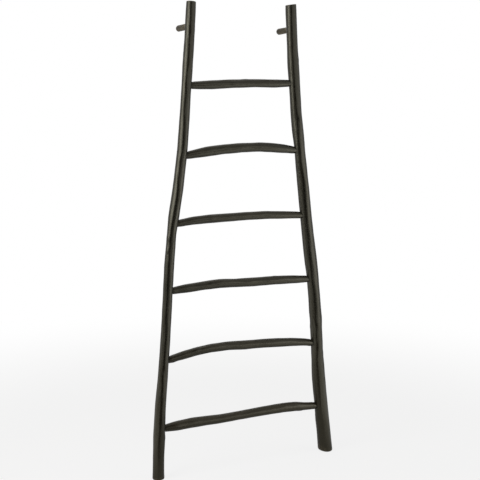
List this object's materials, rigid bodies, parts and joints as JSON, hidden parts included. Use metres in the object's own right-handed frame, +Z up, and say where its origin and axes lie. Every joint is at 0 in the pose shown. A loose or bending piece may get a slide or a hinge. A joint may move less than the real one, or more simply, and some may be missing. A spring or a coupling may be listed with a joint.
{
  "type": "blanket ladder",
  "caption": "Rustic pole blanket ladder: crooked dark-stained stiles that spread to the floor, arched whittled rungs pinned from the back, and wall pegs at the top.",
  "frame": {"origin": "on the floor, under the middle of the whole ladder's outline seen from above", "axes": "+Z up; +Y from the front towards the wall, the way the wall pegs point; +X to the right as seen from the front"},
  "size_m": [0.8024, 0.229, 1.8293],
  "materials": {
    "stained_wood": "satin near-black brown stain on shaved poles",
    "pin_wood": "the same stain on pared end grain"
  },
  "bodies": {
    "root": {"left_stile": "stained_wood", "right_stile": "stained_wood", "rung_1": "stained_wood", "rung_2": "stained_wood", "rung_3": "stained_wood", "rung_4": "stained_wood", "rung_5": "stained_wood", "rung_6": "stained_wood", "left_wall_peg": "stained_wood", "right_wall_peg": "stained_wood", "rung_1_left_pin": "pin_wood", "rung_1_right_pin": "pin_wood", "rung_2_left_pin": "pin_wood", "rung_2_right_pin": "pin_wood", "rung_3_left_pin": "pin_wood", "rung_3_right_pin": "pin_wood", "rung_4_left_pin": "pin_wood", "rung_4_right_pin": "pin_wood", "rung_5_left_pin": "pin_wood", "rung_5_right_pin": "pin_wood", "rung_6_left_pin": "pin_wood", "rung_6_right_pin": "pin_wood"}
  },
  "joints": []
}
